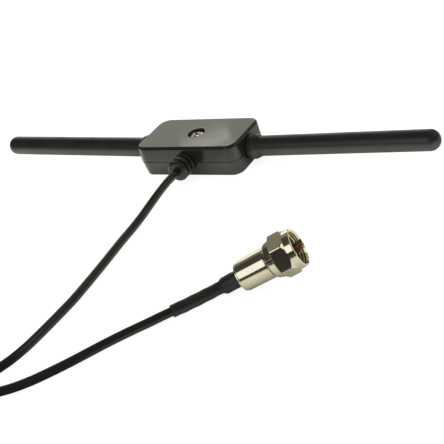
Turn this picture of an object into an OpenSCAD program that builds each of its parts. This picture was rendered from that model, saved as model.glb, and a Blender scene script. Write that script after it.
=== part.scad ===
// Wireless dipole aerial: a two-part centre housing with two rods, and a thin
// coaxial lead that ends in a screw-on 75 ohm plug. The origin is at the middle
// of the housing's flat base, with +X along the right rod, -Y towards the side
// where the lead comes out, and +Z up.

/* [Housing] */
// Length of the centre housing, along the rods
box_l = 40.6; // [39:0.2:46]
// Width of the centre housing, front to back
box_w = 21; // [20:0.2:26]
// Height of the centre housing
box_h = 11; // [10.8:0.1:13]
// Height of the parting line above the base
seam_z = 5.4; // [4:0.1:5.6]
// Radius of the upright corners
corner_r = 4.2; // [3.4:0.2:6]
// How far the base's sides lean in from the parting line down to the bottom
base_draft = 0.7; // [0.3:0.1:1]
// How far the cover's sides lean in from the parting line up to the top
cover_draft = 0.1; // [0.1:0.1:0.5]
// Width of the bevel round the bottom edge
base_bevel = 0.4; // [0.2:0.1:0.8]
// Radius of the rounded edge round the top face
top_round = 1; // [0.8:0.1:1.6]
// Thickness of the side walls
wall = 1.5; // [1.2:0.1:1.8]
// Thickness of the base's floor
floor_t = 1.4; // [1.2:0.1:1.6]
// Thickness of the cover's roof
roof_t = 1.3; // [1:0.1:1.5]
// Thickness of the locating lip on the base's rim
lip_t = 0.7; // [0.5:0.1:0.8]
// Height of the locating lip
lip_h = 0.8; // [0.5:0.1:1.2]

/* [Cover screw] */
// Diameter of the round recess that the screw sits in
recess_d = 6; // [5.6:0.1:7]
// Depth of the top of the screw's head below the top face
screw_sink = 0.5; // [0.3:0.1:0.8]
// Diameter of the screw's head
head_d = 5.2; // [4.6:0.1:5.2]
// Height of the screw's head
head_h = 1.5; // [1.2:0.1:1.8]
// Diameter of the screw's shank
shank_d = 2.4; // [2:0.1:2.6]
// Length of the shank below the head
shank_l = 6; // [4.5:0.5:6]
// Width of the arms of the cross recess
cross_w = 0.8; // [0.6:0.1:1]
// Length of the cross recess, tip to tip
cross_l = 3.2; // [2.6:0.1:3.4]
// Depth of the cross recess
cross_depth = 0.8; // [0.5:0.1:1]
// Thickness of the seat under the screw's head
seat_t = 1.2; // [1:0.1:1.6]
// Wall of the tower round the recess
tower_wall = 0.9; // [0.7:0.1:1.2]
// Outer diameter of the screw post on the base
post_d = 5.4; // [4.8:0.1:5.6]

/* [Rods] */
// Diameter of each rod's moulded cover
rod_d = 6.8; // [6:0.1:7]
// Length of a rod from the housing's end to its tip
rod_l = 66.8; // [50:0.2:90]
// Height of the rods' and the lead's axes above the base
axis_z = 5.5; // [5.4:0.1:5.7]
// How far each rod leans up from level, in degrees
rod_lean = 1.3; // [0:0.1:2]
// Diameter of the collar against the housing
collar_d = 8.6; // [7.4:0.1:9]
// Length of the collar's round part
collar_l = 1.8; // [1:0.1:3]
// Length of the collar's taper down to the rod
collar_taper = 2; // [1.5:0.1:4]
// Diameter of the neck that passes through the housing's wall
neck_d = 5.6; // [5:0.1:5.8]
// Diameter of the flange that holds the rod inside the housing
flange_d = 7.4; // [6.8:0.1:7.6]
// Thickness of that flange
flange_t = 1.2; // [0.8:0.1:1.4]
// Diameter of the metal rod inside the cover
element_d = 2.4; // [2:0.1:2.6]
// Length of solid moulding beyond the end of the metal rod
tip_solid = 5; // [3:0.5:8]

/* [Circuit board] */
// Length of the board
board_l = 31.6; // [31:0.2:32.4]
// Width of the board
board_w = 14; // [13.4:0.2:14.4]
// Thickness of the board
board_t = 1; // [0.8:0.1:1.2]
// Height of the pads that the board stands on, above the floor
pad_h = 0.9; // [0.5:0.1:1]
// Diameter of those pads
pad_d = 2.2; // [1.6:0.1:2.6]
// Width of a rod terminal, across the rod
terminal_w = 4.2; // [3.8:0.1:4.6]
// Length of a rod terminal, along the rod
terminal_l = 2.6; // [2:0.1:2.8]
// Length of the balun core, along its two holes
core_l = 5; // [4:0.1:5.2]
// Width of the balun core
core_w = 7; // [6:0.1:8]
// Height of the balun core
core_h = 3.4; // [3:0.1:4]
// Diameter of the core's two holes
core_hole_d = 1.7; // [1.5:0.1:1.8]
// Distance between the two holes
core_pitch = 3.4; // [3:0.1:4]
// Thickness of the balun's wire
wire_d = 0.4; // [0.3:0.05:0.45]
// Number of turns in the balun's winding
wire_turns = 3; // [1:1:3]
// Width of the cable clamp, across the cable
clamp_w = 3.8; // [3.2:0.1:4.4]
// Length of the cable clamp, along the cable
clamp_l = 1.2; // [0.8:0.1:1.4]

/* [Strain relief] */
// Diameter of the ribs on the strain relief
boot_d = 7.4; // [6.4:0.1:8]
// Diameter of the grooves between the ribs
boot_groove_d = 5.6; // [4.8:0.1:6]
// Length of the strain relief outside the housing
boot_l = 6.4; // [6:0.1:8]
// Number of ribs
boot_ribs = 3; // [2:1:3]
// Width of each groove
boot_groove_w = 0.9; // [0.6:0.1:1.1]
// Length of the rounded end
boot_nose_l = 0.9; // [0.6:0.1:1.2]

/* [Plug] */
// Outer diameter of the plug's body
body_d = 8.6; // [8.2:0.1:9]
// Length of the plug's body, from its rear face to the groove
body_l = 9.5; // [8:0.1:11]
// Bevel at the rear edge of the body
body_bevel = 0.35; // [0.2:0.05:0.5]
// Length of the groove between the body and the nut
groove_l = 0.5; // [0.4:0.1:0.8]
// Diameter of the journal that the nut turns on
journal_d = 7; // [6.6:0.1:7.2]
// Diameter of the bore down the body
body_bore_d = 4; // [3.8:0.1:4.2]
// Length of the coupling nut
nut_l = 8.5; // [7.8:0.1:9]
// Size of the nut across its flats
nut_flats = 11.1; // [11:0.1:11.4]
// Length of the nut's thick rear wall
nut_rear_t = 1.6; // [1.2:0.1:2]
// Diameter of the nut's threaded mouth
mouth_d = 9.53; // [9.3:0.01:9.6]
// Outer diameter of the round collar at the nut's mouth
nut_collar_d = 11; // [10.6:0.1:11]
// Length of that collar
nut_collar_l = 2.3; // [1.5:0.1:2.6]
// Diameter of the nut's rear edge
nut_rear_d = 9.6; // [9.2:0.1:10]
// Length of the bevel behind the nut's corners
nut_bevel_l = 2.2; // [1.6:0.1:2.6]
// Angle at which the nut stands, in degrees
nut_turn = 40; // [0:1:59]
// Thickness of the flange that keeps the nut on
keeper_t = 1; // [0.8:0.1:1.2]
// Diameter of that flange
keeper_d = 9; // [8.6:0.1:9.1]
// Diameter of the insulator's visible face
insulator_d = 5.6; // [4.6:0.1:6]
// Diameter of the centre pin
pin_d = 1; // [0.8:0.1:1.1]
// How far the pin stands out of the nut's mouth
pin_out = 1.8; // [0:0.1:3]

/* [Lead] */
// Diameter of the coaxial lead
cable_d = 2.4; // [2.2:0.1:2.6]
// Diameter of the shrink sleeve behind the plug
sleeve_d = 3.2; // [3:0.1:3.6]
// Diameter of the thicker end of the sleeve, over the plug's tail
sleeve_bulge_d = 4.8; // [4.4:0.1:5]
// Distance from the middle of the coil to the middle of its turns
coil_r = 14; // [12.5:0.5:15.5]
// Number of layers in the coil
coil_layers = 4; // [3:1:4]
// Thickness of the coil's tie
tie_t = 0.6; // [0.4:0.1:0.8]

/* [Fits] */
// Clearance round pieces that are assembled and then stay put
fit_gap = 0.1; // [0.05:0.01:0.15]
// Radial clearance between the nut and the journal
run_gap = 0.05; // [0.02:0.01:0.08]
// Radial clearance between pieces pressed together
press_gap = 0.02; // [0.01:0.01:0.03]

/* [Hidden] */
$fn = 48;

black = [0.13, 0.13, 0.12];
rubber = [0.1, 0.1, 0.1];
nickel = [0.82, 0.8, 0.72];
brass = [0.8, 0.65, 0.3];
copper = [0.72, 0.42, 0.22];
white = [0.93, 0.92, 0.88];

// Heights inside the housing, from the floor up
board_z = floor_t + pad_h;
board_top = board_z + board_t;
roof_z = box_h - roof_t;
seat_z = box_h - screw_sink - head_h;
tower_z = seat_z - seat_t;
post_z = tower_z - fit_gap;
pilot_z = seat_z - shank_l - fit_gap;
cavity_r = corner_r - wall;

// Places along a rod, measured outwards from the housing's end face
flange_out = -wall - fit_gap;
flange_in = flange_out - flange_t;
terminal_out = flange_in - 1.9;
terminal_in = terminal_out - terminal_l;
element_in = terminal_in - 0.4;

// The middle of the balun core, between the screw post and a terminal
core_x = (post_d / 2 + box_l / 2 + terminal_in) / 2;
core_hole_z = board_top + core_h / 2;

// Places along the lead's stripped end, measured outwards from the front face
jacket_in = -3.6;
braid_in = -5.8;
dielectric_in = -6.3;
conductor_in = -6.8;
braid_d = 0.73 * cable_d;
dielectric_d = 0.55 * cable_d;
conductor_d = 0.2 * cable_d;
clamp_out = -3.9;

// Where the plug lies: the middle of its rear face, and the way it points
plug_at = [52.5, -69.1, 3.95];
plug_turn = 25;
plug_rise = 18;

// Places along the plug, from its rear face
nut_s = body_l + groove_l;
nut_wall_s = nut_s + nut_rear_t;
keeper_s = nut_wall_s + run_gap;
mouth_s = nut_s + nut_l;
nut_corners = nut_flats / cos(30);
tail_bore_d = sleeve_bulge_d + 2 * fit_gap;
tail_depth = 2.5;
insulator_depth = 0.6;

// The coil of spare lead, turns side by side in layers
coil_at = [-24, -146];
turn_gap = 1.04 * cable_d;
layer_turns = 3.45;
bundle_w = layer_turns * turn_gap + cable_d;
bundle_h = (coil_layers - 1) * turn_gap + cable_d;
bundle_round = 1.2;
coil_z = tie_t + fit_gap;
outer_turn_r = coil_r + layer_turns * turn_gap / 2;
tie_w = 2.6;
tie_turn = 232;

// The lead's way from the end of the strain relief to the coil
boot_end = [0, -box_w / 2 - boot_l, axis_z];
coil_top = coil_z + bundle_h - cable_d / 2;
low = cable_d / 2;
out_route = [boot_end, boot_end - [0, 3, 0], [-0.5, -23, 5.1], [-1, -27.6, 4.3],
    [-1.6, -32.8, 3.1], [-2, -38.3, 2], [-2.1, -44.4, 1.4], [-1.8, -50.8, low],
    [-1.2, -57.4, low], [-0.6, -63.8, low], [-0.1, -70, low], [0.3, -76, low],
    [0.6, -81.9, low], [0.5, -87.7, low], [0.3, -93.4, low], [0, -99, low],
    [-0.6, -105, low], [-2.2, -111.5, low], [-5.3, -117.6, 1.4],
    [-10.2, -123, 1.7], [-16.8, -126.6, 1.9],
    [coil_at[0], coil_at[1] + outer_turn_r, coil_z + cable_d / 2]];

// The lead's way from the coil to the plug, and the part under the sleeve
return_route = [[coil_at[0] + outer_turn_r, coil_at[1], coil_top],
    [-4.8, -140, 9], [-2.6, -134.6, 7.2], [0.4, -129.6, 4.9], [3.9, -125, 3],
    [7.6, -120.7, 1.8], [11.3, -116.4, low], [15, -112, low], [18.4, -107.5, low],
    [21.5, -103, low], [24.4, -98.8, low], [27, -95.3, low], [29.6, -92, low],
    [32.3, -88.9, 1.3], [34.8, -86.2, 1.5], [37.2, -83.8, 1.7]];
sleeve_route = [return_route[len(return_route) - 1], [40.6, -79.8, 1.7],
    [43.7, -75.9, 1.7], along_plug(-7.1), along_plug(-5.3), along_plug(-2),
    along_plug(1.5)];
thin_points = 4;

// A point on the plug's axis, at a distance in front of its rear face
function along_plug(s) = plug_at + s * [cos(plug_rise) * cos(plug_turn),
    cos(plug_rise) * sin(plug_turn), sin(plug_rise)];

function unit(v) = v / norm(v);

// The direction of a route at one of its points
function heading(route, i) =
    unit(route[min(i + 1, len(route) - 1)] - route[max(i - 1, 0)]);

// The ring of corners round a route's point, square to its direction
function ring(route, i, radius, sides) =
    let (
        ahead = heading(route, i),
        across = unit(cross(ahead, [0, 0, 1])),
        up = cross(across, ahead)
    )
    [for (k = [0:sides - 1])
        route[i] + radius * (cos(360 * k / sides) * across
            + sin(360 * k / sides) * up)];

// A round tube along a route, with a radius at each of the route's points
module tube(route, radii, sides) {
    rings = len(route);
    corners = [for (i = [0:rings - 1]) each ring(route, i, radii[i], sides)];
    first = [for (k = [0:sides - 1]) k];
    last = [for (k = [sides - 1:-1:0]) (rings - 1) * sides + k];
    walls = [for (i = [0:rings - 2]) for (k = [0:sides - 1])
        let (a = i * sides + k, b = i * sides + (k + 1) % sides)
        [a, a + sides, b + sides, b]];
    polyhedron(corners, concat([first, last], walls));
}

module rounded_rect(length, width, radius) {
    square([length - 2 * radius, width], center = true);
    square([length, width - 2 * radius], center = true);
    for (x = [-1, 1], y = [-1, 1])
        translate([x * (length / 2 - radius), y * (width / 2 - radius)])
            circle(radius);
}

// A wall section swept round the housing's plan: the child is drawn outwards
// from the middle of a corner's curve, with its height along Y
module swept_round(length, width, radius) {
    run_x = length / 2 - radius;
    run_y = width / 2 - radius;
    for (turn = [0, 180]) {
        rotate(turn) {
            translate([run_x, run_y, 0])
                rotate_extrude(angle = 90) children();
            translate([-run_x, run_y, 0])
                rotate(90) rotate_extrude(angle = 90) children();
            translate([-run_x, run_y, 0])
                rotate([90, 0, 90]) linear_extrude(2 * run_x) children();
            translate([run_x, run_y, 0])
                rotate([90, 0, 0]) linear_extrude(2 * run_y) children();
        }
    }
}

// The flat middle of the floor or the roof, inside the swept walls
module middle_plate(z, thickness) {
    translate([0, 0, z + thickness / 2])
        cube([box_l - 2 * corner_r, box_w - 2 * corner_r, thickness], center = true);
}

// A rod's own frame: Z runs outwards along the rod from the housing's end
module rod_frame(side) {
    mirror([side < 0 ? 1 : 0, 0, 0])
        translate([box_l / 2, 0, axis_z])
            rotate([0, 90 - rod_lean, 0]) children();
}

// The lead's frame: Z runs outwards from the housing's front face
module lead_frame() {
    translate([0, -box_w / 2, axis_z]) rotate([90, 0, 0]) children();
}

// The plug's frame: Z runs from the middle of its rear face towards its mouth
module plug_frame() {
    translate(plug_at) rotate([0, 90 - plug_rise, plug_turn]) children();
}

// The round holes that the rods' necks and the strain relief pass through
module exits() {
    for (side = [-1, 1])
        rod_frame(side) translate([0, 0, -2 * wall])
            cylinder(d = neck_d + 2 * fit_gap, h = 4 * wall);
    lead_frame() translate([0, 0, -2 * wall])
        cylinder(d = neck_d + 2 * fit_gap, h = 4 * wall);
}

module base_section() {
    foot = corner_r - base_draft;
    polygon([[0, 0], [foot - base_bevel, 0], [foot, base_bevel],
        [corner_r, seam_z], [cavity_r + lip_t, seam_z],
        [cavity_r + lip_t, seam_z + lip_h], [cavity_r, seam_z + lip_h],
        [cavity_r, floor_t], [0, floor_t]]);
}

module cover_section() {
    shoulder = box_h - top_round;
    rebate_r = cavity_r + lip_t + fit_gap;
    rebate_z = seam_z + lip_h + fit_gap;
    top_r = corner_r - cover_draft;
    polygon([[0, roof_z], [0, box_h], [top_r - top_round, box_h],
        [top_r, shoulder], [corner_r, seam_z], [rebate_r, seam_z],
        [rebate_r, rebate_z], [cavity_r, rebate_z], [cavity_r, roof_z]]);
    translate([top_r - top_round, shoulder]) intersection() {
        circle(top_round);
        square(top_round);
    }
}

module base_shell() {
    color(black) difference() {
        union() {
            swept_round(box_l, box_w, corner_r) base_section();
            middle_plate(0, floor_t);
            cylinder(d = post_d, h = post_z);
            for (x = [-1, 1], y = [-1, 1])
                translate([x * (board_l / 2 - pad_d), y * (board_w / 2 - pad_d), 0])
                    cylinder(d = pad_d, h = board_z);
        }
        exits();
        translate([0, 0, pilot_z])
            cylinder(d = shank_d + 2 * press_gap, h = box_h);
    }
}

module top_cover() {
    color(black) difference() {
        union() {
            swept_round(box_l, box_w, corner_r) cover_section();
            middle_plate(roof_z, roof_t);
            translate([0, 0, tower_z])
                cylinder(d = recess_d + 2 * tower_wall, h = box_h - tower_z);
        }
        exits();
        translate([0, 0, seat_z]) cylinder(d = recess_d, h = box_h);
        cylinder(d = shank_d + 2 * fit_gap, h = box_h);
    }
}

// A pan-head screw, its head domed and cut with a cross
module cover_screw() {
    dome_r = (head_d * head_d / 4 + head_h * head_h / 4) / head_h;
    point_l = shank_d / 2;
    color(nickel) translate([0, 0, seat_z]) difference() {
        rotate_extrude() {
            intersection() {
                translate([0, head_h - dome_r]) circle(dome_r, $fn = 96);
                square([head_d / 2, head_h]);
            }
            translate([0, -shank_l + point_l])
                square([shank_d / 2, shank_l - point_l]);
            translate([0, -shank_l])
                polygon([[0, 0], [shank_d / 2, point_l], [0, point_l]]);
        }
        for (turn = [0, 90])
            rotate(45 + turn)
                translate([-cross_l / 2, -cross_w / 2, head_h - cross_depth])
                    cube([cross_l, cross_w, head_h]);
    }
}

// The moulded cover of a rod: flange and neck in the housing's wall, a
// tapered collar outside it, and a long round rod with a domed tip
module rod_cover(side) {
    collar_in = 0.15;
    collar_out = collar_in + collar_l;
    step_r = rod_d / 2 + 0.15;
    straight_l = rod_l - rod_d / 2;
    color(rubber) rod_frame(side) rotate_extrude() difference() {
        union() {
            translate([0, flange_in]) square([flange_d / 2, flange_t]);
            translate([0, flange_in]) square([neck_d / 2, collar_out - flange_in]);
            polygon([[0, collar_in], [collar_d / 2, collar_in],
                [collar_d / 2, collar_out], [step_r, collar_out + collar_taper],
                [0, collar_out + collar_taper]]);
            square([rod_d / 2, straight_l]);
            intersection() {
                translate([0, straight_l]) circle(rod_d / 2);
                translate([0, straight_l - 1]) square(rod_d);
            }
        }
        translate([0, flange_in - 1])
            square([element_d / 2 + press_gap, rod_l - tip_solid - flange_in + 1]);
    }
}

// The metal rod inside a cover, which carries the signal
module element(side) {
    color(brass) rod_frame(side) translate([0, 0, element_in])
        cylinder(d = element_d, h = rod_l - tip_solid - fit_gap - element_in);
}

// A standing block with a round top, its back on the board, and a hole at the
// height of the axes
module saddle(width, hole_d) {
    difference() {
        union() {
            translate([-width / 2, board_top - axis_z])
                square([width, axis_z - board_top]);
            circle(d = width);
        }
        circle(d = hole_d);
    }
}

// The soldered terminal that holds a rod's inner end on the board
module terminal(side) {
    color(brass) difference() {
        translate([side * (box_l / 2 + (terminal_in + terminal_out) / 2), 0, axis_z])
            rotate([90, 0, 90])
                linear_extrude(terminal_l, center = true) saddle(terminal_w, 0.6);
        rod_frame(side) translate([0, 0, terminal_in - 1])
            cylinder(d = element_d + 2 * press_gap, h = terminal_l + 2);
    }
}

module balun_board() {
    color([0.2, 0.42, 0.25]) translate([0, 0, board_z]) linear_extrude(board_t)
        difference() {
            rounded_rect(board_l, board_w, 1);
            circle(d = post_d + 4 * fit_gap);
        }
}

module balun_core() {
    color([0.25, 0.24, 0.25]) translate([core_x, 0, core_hole_z])
        rotate([90, 0, 90]) linear_extrude(core_l, center = true) difference() {
            rounded_rect(core_w, core_h, 0.6);
            for (y = [-1, 1])
                translate([y * core_pitch / 2, 0]) circle(d = core_hole_d);
        }
}

// Turns of wire through both holes of the core, round the web between them
module balun_winding() {
    reach = core_l + 0.6;
    for (turn = [0:wire_turns - 1])
        color(copper)
            translate([core_x, 0, core_hole_z + (turn - (wire_turns - 1) / 2) * 1.1 * wire_d])
                linear_extrude(wire_d, center = true) difference() {
                    rounded_rect(reach + wire_d, core_pitch + wire_d, wire_d);
                    square([reach - wire_d, core_pitch - wire_d], center = true);
                }
}

// The strap that grips the lead's braid on the board
module cable_clamp() {
    color(brass) lead_frame() translate([0, 0, clamp_out - clamp_l])
        linear_extrude(clamp_l) saddle(clamp_w, braid_d + 2 * press_gap);
}

// The lead's end inside the housing, stripped in steps
module cable_tail() {
    color(rubber) lead_frame() rotate_extrude() {
        translate([0, jacket_in]) square([cable_d / 2, boot_l - jacket_in]);
        translate([0, braid_in]) square([braid_d / 2, jacket_in - braid_in]);
        translate([0, dielectric_in])
            square([dielectric_d / 2, braid_in - dielectric_in]);
        translate([0, conductor_in])
            square([conductor_d / 2, dielectric_in - conductor_in]);
    }
}

// The ribbed strain relief, with a neck and a flange inside the housing
module cable_boot() {
    rib_r = boot_d / 2;
    pitch = (boot_l + boot_groove_w) / boot_ribs;
    color(rubber) lead_frame() rotate_extrude() difference() {
        union() {
            translate([0, flange_in]) square([flange_d / 2, flange_t]);
            translate([0, flange_in]) square([neck_d / 2, -flange_in]);
            square([boot_groove_d / 2, boot_l - boot_nose_l]);
            for (rib = [0:boot_ribs - 2])
                translate([0, rib * pitch]) square([rib_r, pitch - boot_groove_w]);
            translate([0, (boot_ribs - 1) * pitch])
                square([rib_r, pitch - boot_groove_w - boot_nose_l]);
            translate([0, boot_l - 2 * boot_nose_l])
                square([rib_r - boot_nose_l, 2 * boot_nose_l]);
            translate([rib_r - boot_nose_l, boot_l - boot_nose_l])
                circle(boot_nose_l);
        }
        translate([0, flange_in - 1])
            square([cable_d / 2 + press_gap, boot_l - flange_in + 2]);
    }
}

module cable_out() {
    color(rubber) tube(out_route, [for (p = out_route) cable_d / 2], 8);
}

module cable_return() {
    color(rubber) tube(return_route, [for (p = return_route) cable_d / 2], 8);
}

module cable_coil() {
    color(rubber) translate([coil_at[0], coil_at[1], coil_z + bundle_h / 2])
        rotate_extrude($fn = 96) translate([coil_r, 0])
            rounded_rect(bundle_w, bundle_h, bundle_round);
}

module coil_tie() {
    inner = 2 * fit_gap;
    outer = inner + 2 * tie_t;
    color(black) translate([coil_at[0], coil_at[1], coil_z + bundle_h / 2])
        rotate(tie_turn) rotate_extrude(angle = tie_w / coil_r * 180 / PI)
            translate([coil_r, 0]) difference() {
                rounded_rect(bundle_w + outer, bundle_h + outer, bundle_round + tie_t);
                rounded_rect(bundle_w + inner, bundle_h + inner, bundle_round);
            }
}

// The heat-shrink sleeve: thin over the lead, thick over the plug's tail
module shrink_sleeve() {
    color(rubber) tube(sleeve_route, [for (i = [0:len(sleeve_route) - 1])
        (i < thin_points ? sleeve_d : sleeve_bulge_d) / 2], 12);
}

// The plug's body: a plain turned barrel, a groove, and the nut's journal
module plug_body() {
    color(nickel) plug_frame() rotate_extrude() difference() {
        union() {
            polygon([[0, 0], [body_d / 2 - body_bevel, 0], [body_d / 2, body_bevel],
                [body_d / 2, body_l - body_bevel], [body_d / 2 - body_bevel, body_l],
                [0, body_l]]);
            square([journal_d / 2, keeper_s]);
        }
        square([tail_bore_d / 2, tail_depth]);
        square([body_bore_d / 2, keeper_s]);
    }
}

// The inner tube of the plug, with the flange that keeps the nut on
module plug_post() {
    tube_r = body_bore_d / 2 - press_gap;
    color(nickel) plug_frame() rotate_extrude() difference() {
        union() {
            translate([0, tail_depth]) square([tube_r, keeper_s - tail_depth]);
            translate([0, keeper_s]) square([keeper_d / 2, keeper_t]);
        }
        translate([0, tail_depth]) square([tube_r - 0.5, keeper_s]);
        translate([0, keeper_s + keeper_t - insulator_depth])
            square([insulator_d / 2 + press_gap, keeper_t]);
    }
}

module plug_insulator() {
    core_r = body_bore_d / 2 - 0.5 - 2 * press_gap;
    face_s = keeper_s + keeper_t;
    color(white) plug_frame() rotate_extrude() difference() {
        union() {
            translate([0, tail_depth + 1]) square([core_r, face_s - tail_depth - 1]);
            translate([0, face_s - insulator_depth])
                square([insulator_d / 2, insulator_depth]);
        }
        translate([0, tail_depth])
            square([pin_d / 2 + press_gap, face_s]);
    }
}

module plug_pin() {
    tip_l = pin_d / 2;
    pin_end = mouth_s + pin_out;
    color(copper) plug_frame() rotate_extrude() {
        translate([0, tail_depth + 2])
            square([pin_d / 2, pin_end - tip_l - tail_depth - 2]);
        translate([0, pin_end - tip_l])
            polygon([[0, 0], [pin_d / 2, 0], [pin_d / 5, tip_l], [0, tip_l]]);
    }
}

// The coupling nut: a hexagon bevelled at both ends, with a round collar at
// its threaded mouth and a thick rear wall that turns on the journal
module coupling_nut() {
    corner = nut_corners / 2;
    collar_r = nut_collar_d / 2;
    collar_s = nut_l - nut_collar_l;
    front_bevel_s = collar_s - (corner - collar_r);
    mouth_bevel = 0.3;
    color(nickel) plug_frame() translate([0, 0, nut_s]) rotate(nut_turn) difference() {
        union() {
            intersection() {
                cylinder(r = corner, h = nut_l, $fn = 6);
                rotate_extrude()
                    polygon([[0, 0], [nut_rear_d / 2, 0], [corner, nut_bevel_l],
                        [corner + 1, nut_bevel_l], [corner + 1, front_bevel_s],
                        [corner, front_bevel_s], [collar_r, collar_s], [0, collar_s]]);
            }
            translate([0, 0, collar_s - 1])
                cylinder(r = collar_r, h = nut_collar_l + 1);
        }
        translate([0, 0, -1]) cylinder(d = journal_d + 2 * run_gap, h = nut_l);
        translate([0, 0, nut_rear_t]) cylinder(d = mouth_d, h = nut_l);
        translate([0, 0, nut_l - mouth_bevel])
            cylinder(d1 = mouth_d, d2 = mouth_d + 4 * mouth_bevel, h = 2 * mouth_bevel);
    }
}

top_cover();
base_shell();
cover_screw();
rod_cover(-1);  // left_rod_cover
rod_cover(1);  // right_rod_cover
element(-1);  // left_element
element(1);  // right_element
terminal(-1);  // left_terminal
terminal(1);  // right_terminal
balun_board();
balun_core();
balun_winding();
cable_clamp();
cable_tail();
cable_boot();
cable_out();
cable_coil();
coil_tie();
cable_return();
shrink_sleeve();
plug_body();
plug_post();
plug_insulator();
plug_pin();
coupling_nut();
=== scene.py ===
import bmesh
import bpy
import numpy as np
from mathutils import Matrix, Vector


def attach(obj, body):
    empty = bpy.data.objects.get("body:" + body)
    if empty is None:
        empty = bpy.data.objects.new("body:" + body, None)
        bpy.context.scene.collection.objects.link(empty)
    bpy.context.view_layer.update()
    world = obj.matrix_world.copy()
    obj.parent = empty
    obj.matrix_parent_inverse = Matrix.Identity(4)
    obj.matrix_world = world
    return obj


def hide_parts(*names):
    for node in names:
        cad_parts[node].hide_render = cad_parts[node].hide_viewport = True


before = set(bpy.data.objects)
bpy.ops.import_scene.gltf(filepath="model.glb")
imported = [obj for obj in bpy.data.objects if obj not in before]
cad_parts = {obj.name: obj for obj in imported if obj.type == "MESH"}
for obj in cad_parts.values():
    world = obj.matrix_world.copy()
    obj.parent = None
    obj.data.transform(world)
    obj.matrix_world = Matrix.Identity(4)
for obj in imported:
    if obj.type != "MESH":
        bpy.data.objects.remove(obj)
for default in ("Cube", "Light", "Camera"):
    if default in bpy.data.objects:
        bpy.data.objects.remove(bpy.data.objects[default])
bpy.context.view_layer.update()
scene = bpy.context.scene
scene.view_settings.view_transform = "Standard"
MM = 0.001


# The camera: a long lens in front of the aerial, to the right and above, rolled
# a little so that the two rods run level across the picture.
CAMERA_AT = np.array([210.91, -272.15, 161.8]) * MM
CAMERA_TURN = np.radians(38.0)
CAMERA_DIP = np.radians(28.48)
CAMERA_ROLL = np.radians(-18.51)
LENS = 89.19

camera_data = bpy.data.cameras.new("photo_camera")
camera_data.sensor_width = 36
camera_data.lens = LENS
camera_data.clip_start = 0.01
camera = bpy.data.objects.new("photo_camera", camera_data)
camera.matrix_world = (
    Matrix.Translation(CAMERA_AT)
    @ Matrix.Rotation(CAMERA_TURN, 4, "Z")
    @ Matrix.Rotation(np.pi / 2 - CAMERA_DIP, 4, "X")
    @ Matrix.Rotation(CAMERA_ROLL, 4, "Z")
)
scene.collection.objects.link(camera)
scene.camera = camera


# The lead: a thin black PVC coaxial cable. It runs from the strain relief along
# the table to a coil of its spare length, and from there back to the plug.
LEAD_D = 2.7 * MM
LEAD_SIDES = 16
COIL_AT = np.array([-24, -146]) * MM
COIL_R = 14 * MM
COIL_FLOOR = 0.7 * MM
COIL_TURNS = 13.75
COIL_LAYERS = 4
COIL_STEP = 0.5
TURN_GAP = 2.5 * MM
PLUG_AT = np.array([52.5, -69.1, 3.95]) * MM
PLUG_TURN = np.radians(25)
PLUG_RISE = np.radians(18)


def plug_axis():
    """The plug's direction, from the angle it is turned and the angle it rises."""
    level = np.cos(PLUG_RISE)
    return np.array(
        [level * np.cos(PLUG_TURN), level * np.sin(PLUG_TURN), np.sin(PLUG_RISE)]
    )


def along_plug(distance_mm):
    """A point on the plug's axis, that far in front of its rear face."""
    return PLUG_AT + distance_mm * MM * plug_axis()


def coil_line(points_per_turn=24):
    """The coil's centreline. The angle grows steadily; the radius goes in and out
    by one turn's gap a turn, a triangle wave with one ramp for each layer; and the
    height steps up by one gap in half a turn at each end of a ramp."""
    turns = np.linspace(0, COIL_TURNS, int(COIL_TURNS * points_per_turn) + 1)[1:-1]
    layer_turns = COIL_TURNS / COIL_LAYERS
    ramp = np.abs((turns / layer_turns + 1) % 2 - 1)
    radius = COIL_R + layer_turns * TURN_GAP * (0.5 - ramp)
    step = np.arange(1, COIL_LAYERS)[:, None] * layer_turns
    rise = np.clip((turns - step) / COIL_STEP + 0.5, 0, 1)
    layer = (rise * rise * (3 - 2 * rise)).sum(0)
    angle = np.pi / 2 + 2 * np.pi * turns
    return np.stack(
        [
            COIL_AT[0] + radius * np.cos(angle),
            COIL_AT[1] + radius * np.sin(angle),
            COIL_FLOOR + LEAD_D / 2 + layer * TURN_GAP,
        ],
        -1,
    )


def travelled(line):
    """The distance along a line at each of its points, a running sum of its steps."""
    return np.concatenate([[0], np.cumsum(np.linalg.norm(np.diff(line, axis=0), axis=1))])


def smooth_line(points, spacing):
    """A line through the points, sampled at even spacing. Between two points it is
    a cubic that leaves each along the chord between that point's neighbours."""
    at = travelled(points)
    gaps = np.diff(at)
    slope = np.gradient(points, at, axis=0)
    fine = np.linspace(0, at[-1], int(at[-1] / spacing * 8))
    i = np.clip(np.searchsorted(at, fine, side="right") - 1, 0, len(gaps) - 1)
    t = ((fine - at[i]) / gaps[i])[:, None]
    h = gaps[i][:, None]
    line = (
        (1 + 2 * t) * (1 - t) ** 2 * points[i]
        + t * (1 - t) ** 2 * h * slope[i]
        + t * t * (3 - 2 * t) * points[i + 1]
        - t * t * (1 - t) * h * slope[i + 1]
    )
    run = travelled(line)
    even = np.linspace(0, run[-1], int(run[-1] / spacing) + 1)
    return np.stack([np.interp(even, run, line[:, k]) for k in range(3)], -1)


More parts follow.
